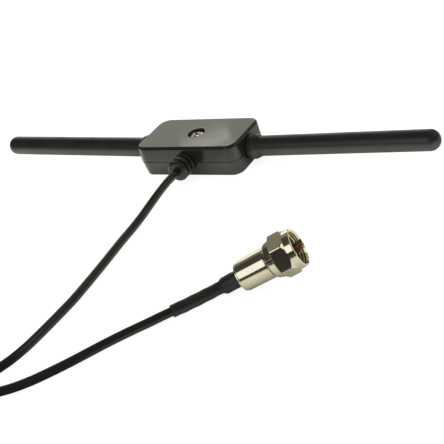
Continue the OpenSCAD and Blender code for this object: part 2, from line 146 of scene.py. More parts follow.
def tube(line, radius, sides):
    """Rings round a line, square to it: each ring's points lie at the radius there,
    turned evenly from the level direction across the line. The ends close to a
    point. The radius is one number for each point, or a table of points by sides."""
    ahead = np.gradient(line, axis=0)
    ahead /= np.linalg.norm(ahead, axis=1, keepdims=True)
    across = np.cross(ahead, [0, 0, 1])
    across /= np.linalg.norm(across, axis=1, keepdims=True)
    up = np.cross(across, ahead)
    angle = np.linspace(0, 2 * np.pi, sides, endpoint=False)[:, None]
    spokes = np.cos(angle) * across[:, None] + np.sin(angle) * up[:, None]
    table = np.asarray(radius, float).reshape(len(line), -1)
    rings = line[:, None] + np.broadcast_to(table, (len(line), sides))[..., None] * spokes
    first, last = (np.tile(line[k], (1, sides, 1)) for k in (0, -1))
    return np.concatenate([first, rings, last])


def skin(name, grid, finish, closed=False, sharp=32, body="antenna"):
    """A mesh whose faces join the neighbours in a grid of points. Its columns close
    on themselves, and its rows too where closed is true. Rows that meet in a point
    are welded there. The UV map runs once round the columns, and along the rows by
    their real distance in decimetres."""
    rows, columns = grid.shape[:2]
    row = np.arange(rows if closed else rows - 1)[:, None]
    column = np.arange(columns)[None]
    after = [(row, column), (row, column + 1), (row + 1, column + 1), (row + 1, column)]
    faces = np.stack([(r % rows) * columns + c % columns for r, c in after], -1)
    mesh = bpy.data.meshes.new(name)
    mesh.from_pydata(grid.reshape(-1, 3).tolist(), [], faces.reshape(-1, 4).tolist())
    middle = grid.mean(1)
    reach = np.linalg.norm(grid - middle[:, None], axis=2).mean(1)
    steps = np.hypot(np.linalg.norm(np.diff(middle, axis=0), axis=1), np.diff(reach))
    along = np.concatenate([[0], np.cumsum(steps), [steps.sum()]]) * 10
    corners = [np.broadcast_arrays(c / columns, along[r]) for r, c in after]
    uv = np.stack([np.stack(corner, -1) for corner in corners], -2)
    mesh.uv_layers.new(name="UVMap").uv.foreach_set("vector", uv.ravel())
    built = bmesh.new()
    built.from_mesh(mesh)
    bmesh.ops.remove_doubles(built, verts=built.verts, dist=1e-8)
    bmesh.ops.recalc_face_normals(built, faces=built.faces)
    built.to_mesh(mesh)
    built.free()
    mesh.shade_smooth()
    mesh.set_sharp_from_angle(angle=np.radians(sharp))
    mesh.materials.append(finish)
    piece = bpy.data.objects.new(name, mesh)
    scene.collection.objects.link(piece)
    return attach(piece, body)


def wired(tree, kind, links=(), **values):
    """A node of a kind in a tree. A value named like one of its sockets is set on
    that socket, any other on the node; links are (socket, what feeds it) pairs."""
    node = tree.nodes.new(kind)
    for key, value in values.items():
        if hasattr(node, key):
            setattr(node, key, value)
        else:
            node.inputs[key.replace("_", " ")].default_value = value
    for socket, source in links:
        tree.links.new(source, node.inputs[socket])
    return node


def new_finish(name):
    """A new material, its node tree and its Principled shader."""
    material = bpy.data.materials.new(name)
    material.use_nodes = True
    tree = material.node_tree
    return material, tree, tree.nodes["Principled BSDF"]


def group(name, inputs, outputs):
    """An empty shader node group with those named inputs and outputs, and the
    sockets that its own nodes take from and give to."""
    tree = bpy.data.node_groups.new(name, "ShaderNodeTree")
    for label, kind, value in inputs:
        socket = tree.interface.new_socket(label, in_out="INPUT", socket_type=kind)
        if value is not None:
            socket.default_value = value
    for label, kind in outputs:
        tree.interface.new_socket(label, in_out="OUTPUT", socket_type=kind)
    given = tree.nodes.new("NodeGroupInput").outputs
    made = tree.nodes.new("NodeGroupOutput").inputs
    return tree, given, made


def grain_group():
    """Moulded grain: fine noise as a height, and a coarser one as a cloudy mask."""
    tree, given, made = group(
        "moulded_grain",
        [("Vector", "NodeSocketVector", None), ("Size", "NodeSocketFloat", 1800.0)],
        [("Height", "NodeSocketFloat"), ("Cloud", "NodeSocketFloat")],
    )
    fine = wired(
        tree, "ShaderNodeTexNoise", [("Vector", given["Vector"]), ("Scale", given["Size"])],
        Detail=3.0, Roughness=0.6,
    )
    cloud = wired(
        tree, "ShaderNodeTexNoise", [("Vector", given["Vector"])], Scale=90.0, Detail=4.0,
    )
    tree.links.new(fine.outputs["Fac"], made["Height"])
    tree.links.new(cloud.outputs["Fac"], made["Cloud"])
    return tree


def handling_group():
    """Handling marks: soft smudges and thin scratches, as two masks from 0 to 1."""
    tree, given, made = group(
        "handling_marks",
        [("Vector", "NodeSocketVector", None), ("Stretch", "NodeSocketVector", (900, 60, 900))],
        [("Smudge", "NodeSocketFloat"), ("Scratch", "NodeSocketFloat")],
    )
    smudge = wired(
        tree, "ShaderNodeTexNoise", [("Vector", given["Vector"])],
        Scale=120.0, Detail=5.0, Roughness=0.55, Distortion=0.6,
    )
    soft = wired(
        tree, "ShaderNodeMapRange", [("Value", smudge.outputs["Fac"])],
        From_Min=0.42, From_Max=0.7,
    )
    drawn = wired(
        tree, "ShaderNodeVectorMath", [(0, given["Vector"]), (1, given["Stretch"])],
        operation="MULTIPLY",
    )
    lines = wired(
        tree, "ShaderNodeTexNoise", [("Vector", drawn.outputs[0])], Scale=1.0, Detail=3.0,
    )
    thin = wired(
        tree, "ShaderNodeMapRange", [("Value", lines.outputs["Fac"])],
        From_Min=0.62, From_Max=0.72,
    )
    tree.links.new(soft.outputs[0], made["Smudge"])
    tree.links.new(thin.outputs[0], made["Scratch"])
    return tree


GRAIN = grain_group()
HANDLING = handling_group()


def plastic(name, dark, light, gloss, grain, depth):
    """A moulded or extruded plastic: its colour varies a little in clouds between
    two tones, its gloss drops where it was handled, and its grain is a bump."""
    material, tree, shader = new_finish(name)
    where = wired(tree, "ShaderNodeTexCoord").outputs["Object"]
    noise = wired(tree, "ShaderNodeGroup", node_tree=GRAIN)
    marks = wired(tree, "ShaderNodeGroup", node_tree=HANDLING)
    for node in (noise, marks):
        tree.links.new(where, node.inputs["Vector"])
    noise.inputs["Size"].default_value = grain
    tone = wired(tree, "ShaderNodeValToRGB", [("Fac", noise.outputs["Cloud"])])
    for stop, position, colour in zip(tone.color_ramp.elements, (0.3, 0.7), (dark, light)):
        stop.position = position
        stop.color = (*colour, 1)
    rough = wired(
        tree, "ShaderNodeMapRange", [("Value", marks.outputs["Smudge"])],
        To_Min=gloss[0], To_Max=gloss[1],
    )
    bump = wired(
        tree, "ShaderNodeBump", [("Height", noise.outputs["Height"])],
        Strength=1.0, Distance=depth,
    )
    tree.links.new(tone.outputs["Color"], shader.inputs["Base Color"])
    tree.links.new(rough.outputs[0], shader.inputs["Roughness"])
    tree.links.new(bump.outputs["Normal"], shader.inputs["Normal"])
    return material


lead_pvc = plastic(
    "lead_pvc", (0.01, 0.01, 0.009), (0.014, 0.014, 0.012), (0.1, 0.16), 1400, 1e-6,
)
LIE = LEAD_D / 2 / MM
out_points = np.array(
    [
        [0, -16.9, 5.5], [0, -19.9, 5.5], [-0.5, -23, 5.1], [-1, -27.6, 4.3],
        [-1.6, -32.8, 3.1], [-2, -38.3, 2], [-2.1, -44.4, 1.4], [-1.8, -50.8, LIE],
        [-1.2, -57.4, LIE], [-0.6, -63.8, LIE], [-0.1, -70, LIE], [0.3, -76, LIE],
        [0.6, -81.9, LIE], [0.5, -87.7, LIE], [0.3, -93.4, LIE], [0, -99, LIE],
        [-0.6, -105, LIE], [-2.2, -111.5, LIE], [-5.3, -117.6, 1.4],
        [-10.2, -123, 1.7], [-16.8, -126.6, 1.9],
    ]
) * MM
return_points = np.array(
    [
        [-4.8, -140, 9], [-2.6, -134.6, 7.2], [0.4, -129.6, 4.9], [3.9, -125, 3],
        [7.6, -120.7, 1.8], [11.3, -116.4, LIE], [15, -112, LIE], [18.4, -107.5, LIE],
        [21.5, -103, LIE], [24.4, -98.8, LIE], [27, -95.3, LIE], [29.6, -92, LIE],
        [32.3, -88.9, 1.4], [34.8, -86.2, 1.6], [37.2, -83.8, 1.8],
    ]
) * MM
sleeve_points = np.array(
    [
        [37.2, -83.8, 1.8], [40.6, -79.8, 1.83], [43.2, -76.4, 1.83], [45.0, -74.05, 1.9],
        [46.8, -72.2, 2.12],
    ]
) * MM
tail_points = np.stack([along_plug(s) for s in (-4.4, -2, 1.5)])
under_sleeve = np.concatenate([sleeve_points, tail_points])
route = np.concatenate([out_points, coil_line(), return_points, under_sleeve[1:]])
lead_line = smooth_line(route, 1.1 * MM)
lead_radii = np.full(len(lead_line), LEAD_D / 2)
lead = skin("lead", tube(lead_line, lead_radii, LEAD_SIDES), lead_pvc)
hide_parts("cable_out", "cable_coil", "cable_return")


# The heat-shrink sleeve: black polyolefin tube shrunk over the lead and the tail
# of the plug, so it is thin behind and swells where the plug's tail is inside.
SLEEVE_D = 3.6 * MM
SLEEVE_BULGE_D = 4.95 * MM
SLEEVE_SIDES = 40
INSIDE_PLUG = 1.5 * MM
BULGE_FROM = 6.7 * MM
BULGE_STEP = 1.4 * MM
LIP_ROUND = 0.25 * MM
DENT = 0.045 * MM


def sleeve_radii(line, sides):
    """The sleeve's radius: the lead's own at its very end, the thin one from there,
    and a smooth step up to the thick one about 6 mm behind the plug. Slow sine waves
    round and along it make the small dents that shrinking leaves."""
    run = travelled(line)
    left = (run[-1] - INSIDE_PLUG - run)[:, None]
    t = np.clip((BULGE_FROM - left) / BULGE_STEP, 0, 1)
    plain = SLEEVE_D / 2 + (SLEEVE_BULGE_D - SLEEVE_D) / 2 * t * t * (3 - 2 * t)
    lip = np.clip(run / LIP_ROUND, 0, 1)[:, None]
    angle = np.linspace(0, 2 * np.pi, sides, endpoint=False)[None]
    dents = np.sin(2 * angle + 900 * left) * np.sin(700 * left + 1) + 0.6 * np.sin(
        3 * angle - 1500 * left
    )
    edge = LEAD_D / 2 + 0.03 * MM
    return edge + (plain - edge + DENT * dents) * np.sqrt(lip * (2 - lip))


sleeve_line = smooth_line(under_sleeve, 0.2 * MM)
sleeve_film = plastic(
    "sleeve_film", (0.012, 0.012, 0.0105), (0.017, 0.017, 0.0145), (0.38, 0.5), 900, 6e-6,
)
sleeve_rings = tube(sleeve_line, sleeve_radii(sleeve_line, SLEEVE_SIDES), SLEEVE_SIDES)
sleeve = skin("shrink_sleeve_film", sleeve_rings, sleeve_film, sharp=60)
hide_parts("shrink_sleeve")


# The housing: two halves moulded in black ABS with a fine satin grain, parted
# along their sides and held together by one screw from above.
HALF_L = 20.3 * MM
HALF_W = 10.5 * MM
CORNER_R = 4.2 * MM
BOX_H = 11 * MM
SEAM_Z = 5.4 * MM
WALL = 1.5 * MM
FLOOR_T = 1.4 * MM
ROOF_Z = 9.7 * MM
LIP_T = 0.7 * MM
RECESS_R = 3 * MM
SEAT_Z = 9 * MM
TOWER_Z = 7.8 * MM
TOWER_R = 3.9 * MM
POST_R = 2.7 * MM
POST_Z = 7.7 * MM
PILOT_Z = 2.9 * MM
SHANK_R = 1.2 * MM
COVER_BORE_R = 1.3 * MM
EXIT_R = 2.9 * MM
SEAM_ROUND = 0.16 * MM
BASE_ROUND = 0.4 * MM
TOP_R = 1 * MM
SHOULDER = 0.1 * MM
POINT = 1e-7


def outline(inset):
    """The housing's plan, a rectangle with quarter-circle corners, drawn in by an
    inset: a straight half side, a quarter circle and another half side, mirrored
    four times. Every inset gives the same number of points."""
    run_x, run_y = HALF_L - CORNER_R, HALF_W - CORNER_R
    radius = CORNER_R - inset
    side = np.array([0, 0.5, 0.9, 0.985])
    arc = np.radians(np.linspace(0, 90, 22))
    front = run_x * (1 - np.linspace(0.015, 1, 12))
    x = np.concatenate([np.full(4, run_x + radius), run_x + radius * np.cos(arc), front])
    y = np.concatenate([run_y * side, run_y + radius * np.sin(arc), np.full(12, run_y + radius)])
    quarter = np.stack([x, y], -1)
    half = np.concatenate([quarter, quarter[-2::-1] * [-1, 1]])
    return np.concatenate([half[:-1], -half[:-1]])


def round_holes(points, radius):
    """The outline's points moved along their own directions onto a circle."""
    return points / np.linalg.norm(points, axis=1, keepdims=True) * radius


def shell(profile):
    """A shell's surface from its section, a list of (place, size, height): "plan"
    rows are the outline drawn in by the size, "hole" rows circles of that radius."""
    fan = outline(0)
    rings = []
    for place, size, z in profile:
        ring = outline(size) if place == "plan" else round_holes(fan, size)
        rings.append(np.column_stack([ring, np.full(len(fan), z)]))
    return np.stack(rings)


def plan_arc(inset, z, radius, start, end, steps):
    """Section rows on a circle: its middle is at that inset and height, and the
    angle runs from start to end, 0 pointing outwards and 90 up."""
    angle = np.radians(np.linspace(start, end, steps))
    places = zip(inset - radius * np.cos(angle), z + radius * np.sin(angle))
    return [("plan", across, up) for across, up in places]


def cut_exits(piece):
    """Cuts the round holes for the rods' necks and the strain relief: a Boolean
    modifier takes three lying cylinders out of the shell."""
    cutters = []
    for start, end in (
        ([17.4, 0, 5.44], [23.4, 0, 5.57]),
        ([-17.4, 0, 5.44], [-23.4, 0, 5.57]),
        ([0, -7.5, 5.5], [0, -13.5, 5.5]),
    ):
        line = np.linspace(start, end, 2) * MM
        cutters.append(skin("cutter", tube(line, np.full(2, EXIT_R), 64), housing_abs))
    bpy.context.view_layer.update()
    for cutter in cutters:
        cut = piece.modifiers.new("exit", "BOOLEAN")
        cut.object = cutter
        cut.operation = "DIFFERENCE"
        cut.solver = "EXACT"
    settled = piece.evaluated_get(bpy.context.evaluated_depsgraph_get())
    mesh = bpy.data.meshes.new_from_object(settled)
    piece.modifiers.clear()
    piece.data = mesh
    mesh.shade_smooth()
    mesh.set_sharp_from_angle(angle=np.radians(32))
    for cutter in cutters:
        bpy.data.objects.remove(cutter)


housing_abs = plastic(
    "housing_abs", (0.012, 0.012, 0.01), (0.016, 0.016, 0.0135), (0.13, 0.2), 2600, 1.5e-6,
)
LIP = WALL - LIP_T
base_section = (
    [("hole", POINT, 0), ("plan", 2.1 * MM, 0), ("plan", 1.15 * MM, 0), ("plan", 1.1 * MM, 0)]
    + plan_arc(1.1 * MM, BASE_ROUND, BASE_ROUND, -75, -10, 6)
    + [("plan", 0.69 * MM, 0.45 * MM), ("plan", 0.06 * MM, SEAM_Z - 0.3 * MM)]
    + plan_arc(0.2 * MM, SEAM_Z - SEAM_ROUND, SEAM_ROUND, 0, 90, 5)
    + [("plan", 0.3 * MM, SEAM_Z), ("plan", LIP, SEAM_Z), ("plan", LIP, SEAM_Z + 0.02 * MM)]
    + [("plan", LIP, SEAM_Z + 0.78 * MM), ("plan", LIP + 0.04 * MM, SEAM_Z + 0.8 * MM)]
    + [("plan", WALL, SEAM_Z + 0.8 * MM), ("plan", WALL, SEAM_Z + 0.76 * MM)]
    + [("plan", WALL, FLOOR_T + 0.05 * MM), ("plan", WALL, FLOOR_T)]
    + [("plan", WALL + 0.1 * MM, FLOOR_T), ("hole", POST_R + 0.1 * MM, FLOOR_T)]
    + [("hole", POST_R, FLOOR_T), ("hole", POST_R, POST_Z - 0.1 * MM)]
    + [("hole", POST_R - 0.1 * MM, POST_Z), ("hole", SHANK_R + 0.1 * MM, POST_Z)]
    + [("hole", SHANK_R, POST_Z - 0.1 * MM), ("hole", SHANK_R, PILOT_Z), ("hole", POINT, PILOT_Z)]
)
base = skin("housing_base", shell(base_section), housing_abs)
cut_exits(base)
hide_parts("base_shell")

cover_section = (
    [("hole", RECESS_R + 1.2 * MM, BOX_H), ("plan", SHOULDER + TOP_R + 1.5 * MM, BOX_H)]
    + [("plan", SHOULDER + TOP_R + 0.06 * MM, BOX_H)]
    + plan_arc(SHOULDER + TOP_R, BOX_H - TOP_R, TOP_R, 90, 4, 14)
    + [("plan", SHOULDER, BOX_H - TOP_R - 0.05 * MM), ("plan", 0.035 * MM, SEAM_Z + 0.3 * MM)]
    + plan_arc(0.19 * MM, SEAM_Z + SEAM_ROUND + 0.02 * MM, SEAM_ROUND, 0, -90, 5)
    + [("plan", 0.3 * MM, SEAM_Z + 0.02 * MM), ("plan", LIP - 0.1 * MM, SEAM_Z + 0.02 * MM)]
    + [("plan", LIP - 0.1 * MM, SEAM_Z + 0.9 * MM), ("plan", WALL, SEAM_Z + 0.9 * MM)]
    + [("plan", WALL, SEAM_Z + 1 * MM), ("plan", WALL, ROOF_Z - 0.05 * MM)]
    + [("plan", WALL + 0.05 * MM, ROOF_Z), ("hole", TOWER_R + 0.1 * MM, ROOF_Z)]
    + [("hole", TOWER_R, ROOF_Z), ("hole", TOWER_R, TOWER_Z), ("hole", COVER_BORE_R, TOWER_Z)]
    + [("hole", COVER_BORE_R, SEAT_Z), ("hole", RECESS_R - 0.02 * MM, SEAT_Z)]
    + [("hole", RECESS_R, SEAT_Z + 0.02 * MM), ("hole", RECESS_R, BOX_H - 0.2 * MM)]
    + [("hole", RECESS_R + 0.015 * MM, BOX_H - 0.12 * MM)]
    + [("hole", RECESS_R + 0.06 * MM, BOX_H - 0.05 * MM)]
    + [("hole", RECESS_R + 0.14 * MM, BOX_H - 0.01 * MM), ("hole", RECESS_R + 0.22 * MM, BOX_H)]
)
cover = skin("housing_cover", shell(cover_section), housing_abs, closed=True)
cut_exits(cover)
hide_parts("top_cover")


# The rods: a brass rod in each, overmoulded in smooth black plastic. The cover
# has a neck and a flange inside the housing, and a tapered collar outside it.
ROD_D = 6.8 * MM
ROD_L = 66.8 * MM
ROD_LEAN = np.radians(1.3)
ROD_BORE_END = 59.2 * MM
AXIS_Z = 5.5 * MM


def fillets(corners, steps=6):
    """A section's line with round corners. Each corner is (along, radius, fillet);
    a fillet is the circle that touches both of the lines that meet there, and a
    point just outside each of its ends keeps the straight parts straight."""
    points = np.array([c[:2] for c in corners], float)
    made = [points[:1]]
    fillets_at = [c[2] for c in corners[1:-1]]
    for before, here, after, fillet in zip(points, points[1:], points[2:], fillets_at):
        if not fillet:
            made.append(here[None])
            continue
        a, b = before - here, after - here
        a, b = a / np.linalg.norm(a), b / np.linalg.norm(b)
        half = np.arccos(np.clip(a @ b, -1, 1)) / 2
        middle = here + (a + b) / np.linalg.norm(a + b) * fillet / np.sin(half)
        first, last = here + a * fillet / np.tan(half), here + b * fillet / np.tan(half)
        t = np.linspace(0, 1, steps)[:, None]
        spokes = (first - middle) * (1 - t) + (last - middle) * t
        arc = middle + spokes / np.linalg.norm(spokes, axis=1, keepdims=True) * fillet
        made += [first[None] + a * fillet * 0.15, arc, last[None] + b * fillet * 0.15]
    return np.concatenate(made + [points[-1:]])


def gripped(bore, end):
    """The section rows of a flange and a neck that the housing's two halves grip,
    from the bore out to where the neck ends; along and radius are in millimetres."""
    return [
        [-2.8, bore], [-2.8, 3.6], [-2.7, 3.7], [-1.7, 3.7], [-1.6, 3.6], [-1.6, 2.8], [end, 2.8],
    ]


def turned(profile, origin, axis, sides=96):
    """A profile turned round an axis: each (along, radius) point becomes a ring at
    that distance from the origin along the axis. The level direction across the
    axis comes first, the upward one a quarter turn on."""
    axis = np.asarray(axis, float) / np.linalg.norm(axis)
    across = np.cross([0, 0, 1], axis)
    across /= np.linalg.norm(across)
    up = np.cross(axis, across)
    angle = np.linspace(0, 2 * np.pi, sides, endpoint=False)[:, None]
    spokes = np.cos(angle) * across + np.sin(angle) * up
    return origin + profile[:, :1, None] * axis + profile[:, 1:, None] * spokes[None]


rod_moulding = plastic(
    "rod_moulding", (0.011, 0.011, 0.0105), (0.015, 0.015, 0.014), (0.34, 0.44), 1500, 4e-6,
)
tip = np.radians(np.linspace(0, 90, 14))
tip_along = ROD_L - ROD_D / 2 + np.sin(tip) * ROD_D / 2
tip_radius = np.maximum(np.cos(tip), 1e-6) * ROD_D / 2
collar = [
    [0.15, 2.8, 0], [0.15, 4.3, 0.2], [1.95, 4.3, 0.15], [3.95, 3.5, 0.1], [3.95, 3.4, 0],
]
rod_profile = np.concatenate(
    [
        np.array([[ROD_BORE_END, 1e-6 * MM], [ROD_BORE_END, 1.25 * MM]]),
        np.array(gripped(1.25, 0.15)) * MM,
        fillets(np.array(collar) * MM)[1:],
        np.array([[4.05, 3.4], [40, 3.4]]) * MM,
        np.stack([tip_along, tip_radius], -1),
    ]
)
for side, node in ((-1, "left_rod_cover"), (1, "right_rod_cover")):
    axis = [side * np.cos(ROD_LEAN), 0, np.sin(ROD_LEAN)]
    grid = turned(rod_profile, np.array([side * HALF_L, 0, AXIS_Z]), axis)
    cover_skin = skin(node + "_skin", grid, rod_moulding)
    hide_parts(node)


# The strain relief: a soft black moulding on the lead, with three ribs outside
# the housing and a neck and a flange inside that the two halves grip.
boot_rubber = plastic(
    "boot_rubber", (0.009, 0.009, 0.008), (0.013, 0.013, 0.011), (0.32, 0.42), 1300, 5e-6,
)
ribs = [
    [0.02, 2.8, 0], [0.02, 3.7, 0.2], [1.53, 3.7, 0.3], [1.53, 2.8, 0.15], [2.43, 2.8, 0.15],
    [2.43, 3.7, 0.3], [3.97, 3.7, 0.3], [3.97, 2.8, 0.15], [4.87, 2.8, 0.15],
    [4.87, 3.7, 0.3], [6.4, 3.7, 1.0], [6.4, 1.22, 0],
]
boot_profile = np.concatenate(
    [np.array(gripped(1.22, 0.02)) * MM, fillets(np.array(ribs) * MM)[1:]]
)
boot_rings = turned(boot_profile, np.array([0, -HALF_W, AXIS_Z]), [0, -1, 0])
boot = skin("strain_relief", boot_rings, boot_rubber, closed=True)
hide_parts("cable_boot")


# The cover screw: a nickel-plated steel pan-head screw, its domed head pressed
# with a cross recess. It sits in the cover's round recess.
HEAD_R = 2.8 * MM
HEAD_H = 1.8 * MM
HEAD_SIDES = 192
CROSS_HALF_W = 0.42 * MM
CROSS_HALF_L = 1.6 * MM
CROSS_DEPTH = 0.9 * MM


def blend(tree, factor, start, end):
    """A node that mixes two colours by a factor; its third output is the colour."""
    node = wired(tree, "ShaderNodeMix", [("Factor", factor)], data_type="RGBA")
    for socket, colour in ((6, start), (7, end)):
        node.inputs[socket].default_value = (*colour, 1)
    return node


def metal(name, colour, dull, gloss):
    """A metal surface: its colour goes towards a duller one in smudges, and thin
    scratches take away some gloss and are cut in a little."""
    material, tree, shader = new_finish(name)
    shader.inputs["Metallic"].default_value = 1.0
    where = wired(tree, "ShaderNodeTexCoord").outputs["Object"]
    marks = wired(tree, "ShaderNodeGroup", [("Vector", where)], node_tree=HANDLING)
    tone = blend(tree, marks.outputs["Smudge"], colour, dull)
    rough = wired(
        tree, "ShaderNodeMapRange", [("Value", marks.outputs["Scratch"])],
        To_Min=gloss[0], To_Max=gloss[1],
    )
    bump = wired(
        tree, "ShaderNodeBump", [("Height", marks.outputs["Scratch"])],
        Strength=0.25, Distance=1e-6,
    )
    tree.links.new(tone.outputs[2], shader.inputs["Base Color"])
    tree.links.new(rough.outputs[0], shader.inputs["Roughness"])
    tree.links.new(bump.outputs["Normal"], shader.inputs["Normal"])
    return material


def screw_head():
    """The screw's surface as rings: the top rings follow a dome, and sink by the
    cross's depth where a point lies within half its width of one of the two slots
    and within its length; then the head's side, its underside, the shank and the
    point."""
    angle = np.linspace(0, 2 * np.pi, HEAD_SIDES, endpoint=False)[None]
    r = np.linspace(0, HEAD_R - 0.25 * MM, 60)[:, None]
    dome_r = HEAD_R**2 / HEAD_H + HEAD_H / 4
    u, v = r * np.cos(angle - np.pi / 4), r * np.sin(angle - np.pi / 4)
    near = np.minimum(np.abs(u), np.abs(v))
    far = np.maximum(np.abs(u), np.abs(v))
    wide = np.clip((CROSS_HALF_W - near) / (0.14 * MM) + 0.5, 0, 1)
    long = np.clip((CROSS_HALF_L - far) / (0.7 * MM) + 0.2, 0, 1)
    z = HEAD_H - dome_r + np.sqrt(dome_r**2 - r**2) - CROSS_DEPTH * wide * long
    top = np.stack(np.broadcast_arrays(r * np.cos(angle), r * np.sin(angle), z), -1)
    below = [
        [1.05, 2.55, 0], [0.85, 2.8, 0.15], [0, 2.8, 0.05], [0, 1.2, 0], [-4.8, 1.2, 0],
        [-6, 0.001, 0],
    ]
    height, radius = fillets(np.array(below) * MM).T[..., None]
    around = (radius * np.cos(angle), radius * np.sin(angle), height)
    rings = np.stack(np.broadcast_arrays(*around), -1)
    return np.concatenate([top, rings]) + [0, 0, SEAT_Z]


screw_steel = metal("screw_steel", (0.95, 0.92, 0.85), (0.84, 0.8, 0.71), (0.2, 0.3))
screw = skin("cover_screw_steel", screw_head(), screw_steel, sharp=40)
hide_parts("cover_screw")


# The plug's body: a brass barrel turned smooth and nickel plated, bored out at
# the back for the lead, with a groove and a journal that the nut turns on.
nickel = metal("nickel_plate", (0.87, 0.81, 0.66), (0.76, 0.7, 0.55), (0.1, 0.18))
body_profile = fillets(
    np.array(
        [
            [2.5, 2.0, 0], [2.5, 2.6, 0], [0, 2.6, 0.1], [0, 4.2, 0.15], [0.42, 4.2, 0.05],
            [0.66, 4.38, 0.08], [9.5, 4.55, 0.3], [9.5, 3.5, 0], [11.65, 3.5, 0],
            [11.65, 2.0, 0], [2.5, 2.0, 0],
        ]
    ) * MM
)[:-1]
barrel_rings = turned(body_profile, PLUG_AT, plug_axis(), 128)
barrel = skin("plug_barrel", barrel_rings, nickel, closed=True, sharp=40)
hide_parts("plug_body")


# The coupling nut: nickel-plated brass, a hexagon bevelled at both ends with a
# round collar at its threaded mouth. Its thick rear wall turns on the journal.
NUT_FROM = 10
NUT_TURN = np.radians(42)
NUT_APOTHEM = 5.68 * MM
NUT_COLLAR_R = 5.7
NUT_BORE_R = 4.8 * MM
JOURNAL_BORE_R = 3.55
THREAD_PITCH = 0.794 * MM
THREAD_DEPTH = 0.4 * MM
EDGE_ROUND = 0.03 * MM
LEAD_IN_ROWS = 8
SIDES = 216
nut_along = np.concatenate(
    [
        np.linspace(0, 0.15, 4), np.linspace(0.3, 1.85, 7), np.linspace(1.9, 2.5, 25),
        np.linspace(2.6, 5.3, 10), np.linspace(5.35, 6.7, 28), np.linspace(6.8, 8.3, 6),
        np.linspace(8.4, 8.6, 7),
    ]
) * MM
bore_along = np.concatenate(
    [np.linspace(8.6, 8.1, 5), np.linspace(8.05, 7.75, 4), np.linspace(7.7, 1.75, 110), [1.6]]
) * MM


def nut_surface():
    """The nut's surface as rings of radii by angle and distance along it. Outside,
    the radius is the smallest of the hexagon's, which is its apothem over the cosine
    from the nearest flat's middle, the rear ring's and cone's, the front bevel's and
    the collar's with its rounded rim; a soft minimum rounds the edges between them.
    Inside, behind a bevelled lead-in, the bore carries a thread: a triangle wave that
    climbs one pitch a turn."""
    angle = np.linspace(0, 2 * np.pi, SIDES, endpoint=False)
    flat = NUT_TURN + np.arange(6) * np.pi / 3
    towards = np.cos(angle[:, None] - flat)
    hexagon = NUT_APOTHEM / (np.log(np.exp(170 * towards).sum(1)) / 170)
    rear_r = np.array([4.95, 5.1, 5.62, 6.65, 6.8]) * MM
    rear = np.interp(nut_along, np.array([0, 0.12, 1.97, 2.42, 9]) * MM, rear_r)
    front = np.clip(12.2 * MM - nut_along, NUT_COLLAR_R * MM, None)
    past = np.clip(nut_along / MM - 8.4, 0, 0.2)
    rim = (NUT_COLLAR_R - 0.2 + np.sqrt(0.04 - past**2)) * MM
    round_r = np.minimum(np.minimum(rear, front), np.where(past > 0, rim, 1))
    stack = np.stack(np.broadcast_arrays(round_r[:, None], hexagon[None])) / EDGE_ROUND
    low = stack.min(0)
    outside = EDGE_ROUND * (low - np.log(np.exp(-(stack - low)).sum(0)))
    phase = (bore_along[:, None] / THREAD_PITCH - angle[None] / (2 * np.pi)) % 1
    thread = THREAD_DEPTH * (1 - np.abs(2 * phase - 1) * 1.25).clip(0, 1)
    runin = np.clip((7.75 * MM - bore_along) / (0.5 * MM), 0, 1)[:, None]
    mouth = NUT_BORE_R + np.clip(bore_along - 8.1 * MM, 0, None)[:, None]
    inside = mouth - thread * runin * (bore_along > 1.7 * MM)[:, None]
    back = np.array([[1.6, JOURNAL_BORE_R], [0, JOURNAL_BORE_R]]) * MM
    along = np.concatenate([nut_along, bore_along, back[:, 0]])
    radius = np.concatenate([outside, inside, np.broadcast_to(back[:, 1:], (2, SIDES))])
    axis = plug_axis()
    across = np.cross([0, 0, 1], axis)
    across /= np.linalg.norm(across)
    up = np.cross(axis, across)
    spokes = np.cos(angle)[:, None] * across + np.sin(angle)[:, None] * up
    return along_plug(NUT_FROM) + along[:, None, None] * axis + radius[..., None] * spokes[None]


thread_brass = metal("thread_brass", (0.5, 0.41, 0.27), (0.36, 0.28, 0.17), (0.16, 0.26))
nut = skin("nut_hexagon", nut_surface(), nickel, closed=True, sharp=40, body="nut")
nut.data.materials.append(thread_brass)
threaded = np.zeros(len(nut.data.polygons), np.int32)
threaded[(len(nut_along) + LEAD_IN_ROWS) * SIDES : -2 * SIDES] = 1
nut.data.polygons.foreach_set("material_index", threaded)
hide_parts("coupling_nut")


# The plug's centre: the lead's own copper conductor stands out of a white
# insulator, which the flanged post holds. These keep their CAD shapes.
copper = metal("bare_copper", (0.9, 0.5, 0.28), (0.7, 0.36, 0.18), (0.2, 0.34))
insulator = plastic(
    "dielectric_white", (0.78, 0.76, 0.7), (0.86, 0.84, 0.79), (0.4, 0.5), 2000, 2e-6,
)
brass = metal("terminal_brass", (0.8, 0.6, 0.3), (0.6, 0.42, 0.2), (0.24, 0.38))
ferrite = plastic("ferrite", (0.03, 0.03, 0.031), (0.05, 0.05, 0.052), (0.5, 0.65), 1800, 1.5e-5)
enamel = plastic("wire_enamel", (0.5, 0.16, 0.06), (0.62, 0.24, 0.1), (0.2, 0.3), 3000, 1e-6)
board = plastic("board_resin", (0.03, 0.13, 0.06), (0.045, 0.17, 0.08), (0.3, 0.4), 2500, 2e-6)

for node, finish in (
    ("plug_pin", copper), ("plug_insulator", insulator), ("plug_post", nickel),
    ("left_element", brass), ("right_element", brass), ("left_terminal", brass),
    ("right_terminal", brass), ("cable_clamp", brass), ("balun_board", board),
    ("balun_core", ferrite), ("balun_winding", enamel), ("cable_tail", lead_pvc),
    ("coil_tie", lead_pvc),
):
    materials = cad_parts[node].data.materials
    materials.clear()
    materials.append(finish)


